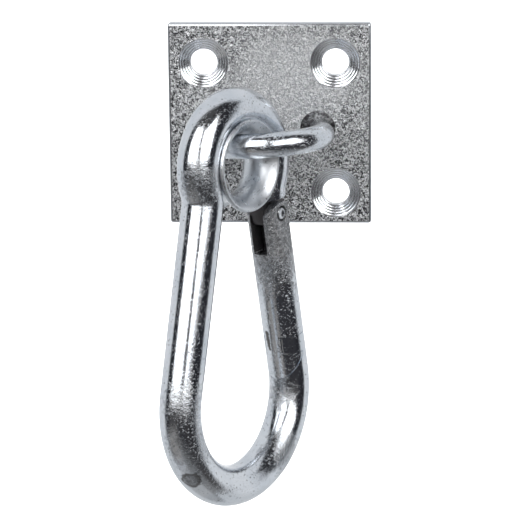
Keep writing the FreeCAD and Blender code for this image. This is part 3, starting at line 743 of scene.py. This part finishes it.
def zinc_plate_material():
    """Bright zinc over pickled hot-rolled plate: a fine worm-like grain that glitters, with clean
    turned countersinks and smooth edges. Painted shade darkens the staple holes' walls and lines
    the countersinks' rings, and a painted sheen lightens the grain round the upper middle."""
    n = Surface("zinc_on_rough_plate")
    n.shader.inputs["Metallic"].default_value = 0.93
    split = n.add("ShaderNodeSeparateXYZ")
    n.link(n.position, split.inputs["Vector"])
    x, y, z = (split.outputs[name] for name in "XYZ")

    def from_holes(pitch_x, pitch_z):
        dx = n.math("SUBTRACT", n.math("ABSOLUTE", x), pitch_x / 2)
        dz = n.math("SUBTRACT", n.math("ABSOLUTE", z), pitch_z / 2)
        squares = n.math("ADD", n.both(dx, dx), n.both(dz, dz))
        return n.math("SQRT", squares)

    reach = from_holes(SCREW_PITCH, SCREW_PITCH)
    cone = n.remap(reach, SCREW_SINK / 2 + 0.05, SCREW_SINK / 2 + 0.2, 1.0, 0.0)
    cone = n.both(cone, n.remap(y, SINK_DEPTH - PLATE_THICK, SINK_DEPTH - PLATE_THICK + 0.2,
                                1.0, 0.0))
    bore = n.both(n.remap(reach, SCREW_HOLE / 2 + 0.1, SCREW_HOLE / 2 + 0.2, 1.0, 0.0), 0.7)
    sunk = n.either(cone, bore)
    leg_hole = n.remap(from_holes(LEG_HOLE_PITCH, 0.0), LEG_HOLE / 2, LEG_HOLE / 2 + 0.1,
                       1.0, 0.0)
    edge = n.either(n.math("ABSOLUTE", x),
                    n.math("ABSOLUTE", n.math("SUBTRACT", z, PLATE_RISE)))
    flank = n.remap(edge, PLATE_SIDE / 2 - 0.75, PLATE_SIDE / 2 - 0.6)
    grained = n.math("SUBTRACT", 1.0, n.either(sunk, flank))

    worms = n.noise(1.5, 1.5, 0.5, 1.6)
    fine = n.noise(2.8, 2.0, 0.6, 0.8)
    grain = n.math("ADD", n.both(worms, 0.65), n.both(fine, 0.35))
    # Painted sheen: round a spot in the plate's upper middle the grain is painted lighter and
    # flatter, darker towards the edges; the same patch sets the roughness.
    away = n.vector("DISTANCE", n.position, (5.0, -PLATE_THICK, 10.0))
    sheen_reach = n.math("ADD", away, n.remap(n.noise(0.08, 3.0), 0.3, 0.7, -6.0, 6.0))
    sheen_patch = n.remap(sheen_reach, 6.0, 27.0, 1.0, 0.0, smooth=True)
    low = n.blend(sheen_patch, (0.05, 0.05, 0.053), (0.58, 0.59, 0.61))
    high = n.blend(sheen_patch, (0.95, 0.96, 0.98), (0.98, 0.99, 1.0))
    tint = n.blend(n.remap(grain, 0.45, 0.54), low, high)
    tint = n.blend(flank, tint, (0.64, 0.66, 0.69))
    tint = n.blend(sunk, tint, BRIGHT)
    # Painted shade: dark grey lines along the countersinks' turning rings, besides their bump.
    ringed = n.both(cone, n.remap(n.math("SINE", n.math("MULTIPLY", reach, 11.0)), 0.2, 1.0,
                                  0.0, 0.6))
    tint = n.blend(ringed, tint, DULL_AND_SHADE)
    # Painted shade: the staple holes' walls are painted nearly black.
    tint = n.blend(leg_hole, tint, SMUT_AND_SHADE)
    n.colour(tint)
    shine = n.remap(n.noise(0.6, 4.0), 0.3, 0.7, 0.14, 0.22)
    matt = n.either(n.both(leg_hole, 0.3), n.both(grained, n.remap(sheen_patch, 0.0, 1.0, 0.10, 0.24)))
    n.roughness(n.math("ADD", shine, matt))
    n.bump(grain, 0.85, grained)
    rings = n.math("SINE", n.math("MULTIPLY", n.math("ADD", reach, n.both(n.noise(0.5, 2.0), 0.3)),
                                  2 * math.pi / 0.62))
    n.bump(rings, 0.022, n.both(cone, 0.8))
    return n.material


def zinc_bar_material(name, spec):
    """Bright zinc on drawn bar: long soft streaks, speckle, faint pits and rubbed patches; with
    spec's slot, painted shade on the tongue and slot faces and on the claw's faces.
    """
    n = Surface(name)
    tone = n.noise(0.12, 3.0)
    streaks = n.noise(1.0, 4.0, 0.6, 0.0, n.along(0.06, 1.3))
    tint = n.blend(n.remap(tone, 0.35, 0.68), *spec.get("tints", (BRIGHT, COOL)))
    rubbed = n.remap(n.noise(0.28, 5.0, 0.65), 0.58, 0.74, 0.0, spec["rubbed"])
    for point, radius, soft, amount in spec.get("scuffs", ()):
        rubbed = n.either(rubbed, n.both(n.near(point, radius, soft), amount))
    # The claw's milled faces are painted duller and darker: partly their rougher finish, partly
    # painted shade in the claw's notch.
    if "slot" in spec:
        rubbed = n.either(rubbed, n.both(claw_mask(n), 0.5))
    dull = spec.get("dull", DULL_AND_SHADE)
    smudge = n.remap(n.noise(1.1, 6.0, 0.75), 0.40, 0.60)
    dull = n.blend(smudge, tuple(0.45 * part for part in dull), tuple(1.5 * part for part in dull))
    tint = n.blend(rubbed, tint, dull)
    tint = n.blend(n.remap(streaks, 0.35, 0.75, 0.0, 0.35), tint, COOL)
    specks = n.remap(n.cells(1.1), 0.09, 0.28, 0.85, 0.0)
    specks = n.both(specks, n.remap(n.noise(0.35, 3.0), 0.45, 0.57))
    for point, radius in spec.get("outlines", ()):
        ring = n.math("SUBTRACT", n.near(point, radius, 0.3), n.near(point, radius - 0.6, 0.3))
        specks = n.either(specks, n.both(ring, 0.8))
    for point, radius in spec.get("stains", ()):
        specks = n.either(specks, n.near(point, radius, 0.12))
    tint = n.blend(specks, tint, SMUT_AND_SHADE)
    rough = n.remap(n.noise(0.5, 5.0), 0.3, 0.7, *spec["rough"])
    rough = n.math("ADD", rough, n.both(rubbed, spec["blur"]))
    # Painted shade: the tongue and the faces of the gate's slot are painted nearly black and matt.
    if "slot" in spec:
        slot_shade = slot_shade_mask(n)
        tint = n.blend(slot_shade, tint, SHADE_BLACK)
        rough = n.math("ADD", rough, n.both(slot_shade, 0.3))
    n.colour(tint)
    n.roughness(rough)
    n.bump(streaks, spec["streak"])
    n.bump(n.noise(2.6, 3.0, 0.65), spec["grain"])
    dents = n.remap(n.noise(1.9, 4.0, 0.75, 0.6), 0.58, 0.70)
    n.bump(dents, spec["dents"], n.remap(rubbed, 0.0, 0.5, spec["marked"], 1.0))
    n.bump(n.noise(1.3, 5.0, 0.7), 0.32, rubbed)
    n.bump(n.remap(n.cells(0.55), 0.0, 0.16), 0.03, 0.6)
    return n.material


def rough_zinc_material(name, colour_a, colour_b, bump_mm, shaded=None, rough=(0.22, 0.42)):
    """Zinc over filed, punched or welded metal: grey, matt and grainy. shaded makes the mask of
    a part that is painted dark grey to black as painted shade."""
    n = Surface(name)
    tone = n.noise(0.7, 5.0, 0.65)
    tint = n.blend(n.remap(tone, 0.35, 0.65), colour_a, colour_b)
    # Painted shade: the masked part is painted dark grey to black.
    if shaded is not None:
        painted_shade_tint = n.blend(n.remap(n.noise(1.6, 4.0), 0.45, 0.62), SHADE_BLACK, DULL_AND_SHADE)
        tint = n.blend(shaded(n), tint, painted_shade_tint)
    n.colour(tint)
    n.roughness(n.remap(n.noise(2.0, 4.0), 0.3, 0.7, *rough))
    n.bump(n.noise(2.6, 4.0, 0.65), bump_mm)
    return n.material


def weld_face_shade(n):
    """The weld's face inside the leg hole, where painted shade goes."""
    split = n.add("ShaderNodeSeparateXYZ")
    n.link(n.position, split.inputs["Vector"])
    return n.remap(split.outputs["Y"], -1.0, -0.6, 1.0, 0.0)


def rivet_groove_shade(n):
    """The groove round the rivet's head, where painted shade goes."""
    offset = n.vector("SUBTRACT", n.position, tuple(PIVOT_MM))
    lengthwise = n.vector("DOT_PRODUCT", offset, tuple(through))
    reach = n.vector("DOT_PRODUCT", offset, offset)
    radius = n.math("SQRT", n.math("SUBTRACT", reach, n.both(lengthwise, lengthwise)))
    return n.remap(radius, 1.28, 1.42)


def floor_material():
    n = Surface("pale_floor", metal=False)
    n.colour(n.blend(n.noise(0.01, 2.0), (0.88, 0.88, 0.88), (0.92, 0.92, 0.92)))
    n.roughness(n.remap(n.noise(0.05, 3.0), 0.3, 0.7, 0.75, 0.9))
    return n.material


# ---------------------------------------------------------------- put it together

def finish_piece(piece, material, body, node):
    piece.data.materials.clear()
    piece.data.materials.append(material)
    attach(piece, body)
    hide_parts(node)
    return piece


# Rubbed places: centre on the surface, radius and softness (mm), and how strongly it shows.
HOOK_SCUFFS = [((-16.9, -51.0, -76.2), 2.4, 0.35, 0.9), ((-16.8, -53.2, -57.5), 5.0, 3.0, 0.34),
               ((1.5, -22.0, -62.5), 4.5, 2.0, 0.5), ((4.5, -24.0, -78.0), 5.0, 2.5, 0.4),
               ((-15.5, -52.5, -67.0), 6.0, 3.0, 0.3),
               ((-13.5, -44.5, -6.5), 5.0, 2.0, 0.45)]
cheek = PIVOT_MM - up_limb * 3.5
GATE_SCUFFS = [(tuple(cheek), 9.5, 2.0, 1.0), (tuple(cheek - up_limb * 6.0), 9.0, 4.0, 0.7)]
hook_zinc = zinc_bar_material("zinc_on_hook_bar", {
    "rough": (0.03, 0.09), "rubbed": 0.12, "grain": 0.022, "streak": 0.012, "slot": True,
    "dents": 0.05, "marked": 0.3, "scuffs": HOOK_SCUFFS, "dull": (0.19, 0.19, 0.195), "blur": 0.05,
    "outlines": [((-16.9, -51.0, -76.2), 2.4)]})
gate_zinc = zinc_bar_material("zinc_on_gate_bar", {
    "rough": (0.04, 0.12), "rubbed": 0.2, "grain": 0.03, "streak": 0.02, "slot": True,
    "dents": 0.06, "marked": 0.5, "scuffs": GATE_SCUFFS, "dull": (0.33, 0.33, 0.335), "blur": 0.18,
    "stains": [((-0.5, -19.6, -48.3), 0.75), ((-0.4, -19.5, -49.1), 0.7),
               ((-0.2, -19.4, -49.9), 0.65), ((-0.05, -19.35, -50.7), 0.6),
               ((0.1, -19.3, -51.5), 0.5), ((0.25, -19.3, -52.2), 0.4)]})
staple_zinc = zinc_bar_material("zinc_on_staple_bar", {
    "rough": (0.08, 0.16), "rubbed": 0.2, "grain": 0.03, "streak": 0.02, "dents": 0.05,
    "marked": 0.7, "blur": 0.15})
thimble_zinc = zinc_bar_material("zinc_on_thimble_sheet", {
    "rough": (0.24, 0.36), "rubbed": 0.4, "grain": 0.04, "streak": 0.02, "dents": 0.04,
    "marked": 0.6, "blur": 0.15, "tints": ((0.88, 0.90, 0.92), (0.66, 0.69, 0.73))})
# The weld's face inside the leg hole is painted dark as painted shade.
weld_zinc = rough_zinc_material("zinc_on_weld", (0.50, 0.52, 0.55), (0.68, 0.70, 0.73), 0.06,
                                weld_face_shade)
# The groove round the rivet's head is painted dark as painted shade.
rivet_steel = rough_zinc_material("peened_rivet", (0.55, 0.56, 0.58), (0.82, 0.84, 0.87), 0.05,
                                  rivet_groove_shade, (0.10, 0.2))
dark_steel = rough_zinc_material("dark_steel", (0.10, 0.10, 0.11), (0.20, 0.20, 0.21), 0.01)

finish_piece(make_plate(), zinc_plate_material(), "eye_plate", "mounting_plate")
finish_piece(make_staple(), staple_zinc, "eye_plate", "staple")
finish_piece(make_welds(), weld_zinc, "eye_plate", "staple_welds")
finish_piece(make_thimble(), thimble_zinc, "thimble_ring", "thimble")
finish_piece(make_hook_body(), hook_zinc, "hook", "hook_body")
finish_piece(make_gate(), gate_zinc, "latch_gate", "gate")
finish_piece(make_rivet(), rivet_steel, "latch_gate", "gate_pivot_rivet")
spring = finish_piece(make_spring(), dark_steel, "latch_gate", "gate_spring")
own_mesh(spring)
finish_piece(make_plunger(), dark_steel, "latch_plunger", "gate_plunger")

# ---------------------------------------------------------------- floor, light and camera

def make_floor():
    """Pale seamless sheet: a flat floor that curves up far behind the object."""
    low, back, bend, top, half = -0.16, 1.2, 0.5, 2.0, 2.5
    line = [(-2.5, low), (back - bend, low)]
    line += arc_points((back - bend, low + bend), bend, -math.pi / 2, 0.0, 24)[1:]
    line += [(back, top)]
    vertices = [(x, y, z) for x in (-half, half) for y, z in line]
    count = len(line)
    faces = [(i, i + 1, i + 1 + count, i + count) for i in range(count - 1)]
    floor = new_object("studio_floor", mesh_from("studio_floor", vertices, faces))
    floor.data.materials.append(floor_material())
    floor.visible_glossy = False
    shade(floor)


def area_light(name, place, target, size, power, glossy):
    """Rectangular lamp at place, aimed at target. glossy says whether the metal mirrors it."""
    data = bpy.data.lights.new(name, "AREA")
    data.shape = "RECTANGLE"
    data.size, data.size_y = size
    data.energy = power
    lamp = bpy.data.objects.new(name, data)
    bpy.context.scene.collection.objects.link(lamp)
    lamp.location = place
    lamp.rotation_euler = (Vector(target) - Vector(place)).to_track_quat("-Z", "Y").to_euler()
    lamp.visible_glossy = glossy


def make_world():
    """Studio round the object: two soft boxes in front with a narrow gap between them, black
    flags at their outer sides, pale paper behind, and a grey floor in front. Angles are in
    degrees: turn is 0 towards the camera's side and grows to the right, rise is 0 level."""
    world = bpy.data.worlds.new("studio")
    world.use_nodes = True
    g = Graph(world.node_tree)
    background = world.node_tree.nodes["Background"]
    split = g.add("ShaderNodeSeparateXYZ")
    g.link(g.add("ShaderNodeTexCoord").outputs["Generated"], split.inputs["Vector"])
    x, y, z = (split.outputs[name] for name in "XYZ")
    degrees = 180.0 / math.pi
    turn = g.math("MULTIPLY", g.math("ARCTAN2", x, g.math("MULTIPLY", y, -1.0)), degrees)
    rise = g.math("MULTIPLY", g.math("ARCSINE", z), degrees)
    side = g.math("ABSOLUTE", turn)

    def patch(colour, tint, turns, rises, soft=4.0, around=turn):
        """Lay a tint over a patch of directions."""
        mask = g.math("MULTIPLY", g.band(around, *turns, soft), g.band(rise, *rises, soft))
        return g.blend(mask, colour, tint)

    # The dark room, with a black flag at each side and a dark strip low in front.
    colour = patch((0.07, 0.068, 0.07), (0.025, 0.025, 0.03), (56.0, 100.0), (-26.0, 52.0),
                   around=side)
    colour = patch(colour, (0.035, 0.035, 0.04), (-12.0, 70.0), (-34.0, -14.0), 3.0)
    # The floor, which grows lighter straight below.
    colour = patch(colour, (0.30, 0.29, 0.28), (-72.0, -14.0), (-95.0, -22.0), 6.0)
    colour = patch(colour, (0.26, 0.26, 0.26), (-20.0, 20.0), (-95.0, -36.0), 6.0)
    colour = patch(colour, (0.20, 0.205, 0.21), (0.0, 100.0), (-95.0, -44.0), 8.0)
    colour = patch(colour, (0.42, 0.43, 0.45), (-180.0, -6.0), (-95.0, -52.0), 5.0)
    colour = patch(colour, (0.40, 0.41, 0.42), (-200.0, 200.0), (-95.0, -66.0), 5.0)
    # Pale paper behind the object, brightest low in its middle and darker at its foot.
    colour = patch(colour, (0.69, 0.71, 0.735), (99.0, 200.0), (-62.0, 95.0), 3.0)
    colour = patch(colour, (0.69, 0.71, 0.735), (-200.0, -85.0), (-62.0, 95.0), 3.0)
    colour = patch(colour, (0.95, 0.96, 0.97), (163.0, 200.0), (-50.0, 2.0), around=side)
    colour = patch(colour, (0.58, 0.60, 0.62), (99.0, 200.0), (-62.0, -34.0), 8.0, around=side)
    # A tall flag at the right, and the two soft boxes.
    colour = patch(colour, (0.03, 0.03, 0.034), (60.0, 107.0), (25.0, 72.0), 3.0)
    colour = patch(colour, (2.85, 2.85, 2.85), (-55.0, -3.0), (9.0, 57.0), 1.5)
    colour = patch(colour, (2.85, 2.85, 2.85), (13.0, 64.0), (5.5, 47.0), 1.5)
    g.link(colour, background.inputs["Color"])
    bpy.context.scene.world = world


def make_camera():
    """At the photographed angle: from in front, a little right, and 13 degrees above."""
    data = bpy.data.cameras.new("camera")
    data.lens = 187.6
    data.sensor_width = 36.0
    camera = bpy.data.objects.new("camera", data)
    bpy.context.scene.collection.objects.link(camera)
    yaw, pitch, roll = (math.radians(a) for a in (3.33, 12.82, 0.57))
    turn = (Matrix.Rotation(yaw, 3, "Z") @ Matrix.Rotation(-pitch, 3, "X")
            @ Matrix.Rotation(roll, 3, "Y"))
    right, forward, up = turn.col[0], turn.col[1], turn.col[2]
    camera.matrix_world = axes(right, up, -forward, (0.0361, -0.6655, 0.1171))
    bpy.context.scene.camera = camera


make_floor()
make_world()
make_camera()
area_light("floor_wash", (0.0, 0.1, 1.6), (0, 0.9, -0.1), (2.0, 1.2), 60.0, glossy=False)
bpy.context.scene.view_settings.view_transform = "Standard"
